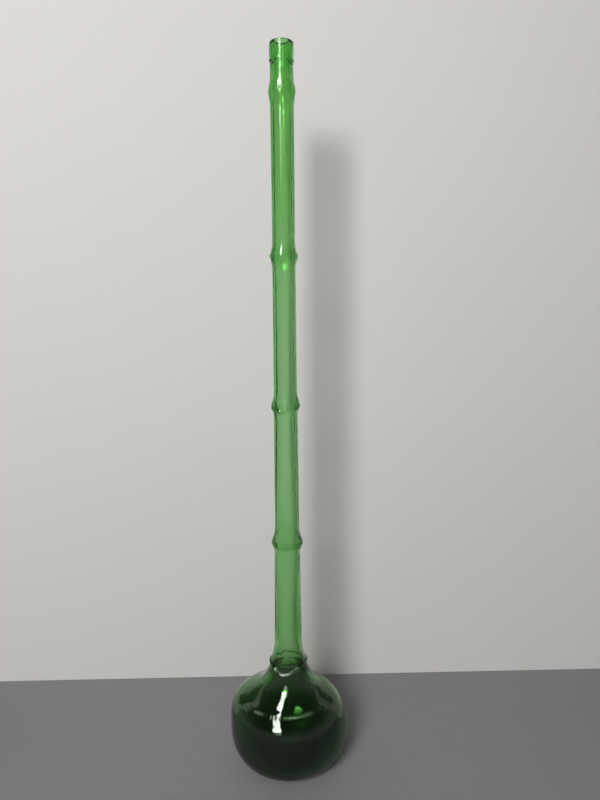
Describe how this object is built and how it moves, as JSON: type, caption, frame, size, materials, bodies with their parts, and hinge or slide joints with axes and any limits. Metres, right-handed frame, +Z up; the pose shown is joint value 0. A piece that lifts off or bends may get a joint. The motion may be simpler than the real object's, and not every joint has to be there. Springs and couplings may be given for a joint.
{
  "type": "long-neck glass carboy",
  "caption": "Tall transparent green glass wine carboy with a squat onion-shaped bulb, pushed-up base and a long neck moulded like a bamboo cane, open at a cork-finish mouth.",
  "frame": {"origin": "on the bottle's axis, at the plane of the standing ring", "axes": "+Z up along the neck, -Y towards the front, which carries the raised row of beads"},
  "size_m": [0.1896, 0.1896, 1.09],
  "materials": {
    "green_glass": "clear gloss"
  },
  "bodies": {
    "root": {"base_with_punt": "green_glass", "body_wall": "green_glass", "shoulder": "green_glass", "neck_collar": "green_glass", "neck_cane_1": "green_glass", "neck_cane_2": "green_glass", "neck_cane_3": "green_glass", "neck_cane_4": "green_glass", "neck_cane_5": "green_glass", "mouth_finish": "green_glass", "shoulder_relief": "green_glass"}
  },
  "joints": []
}
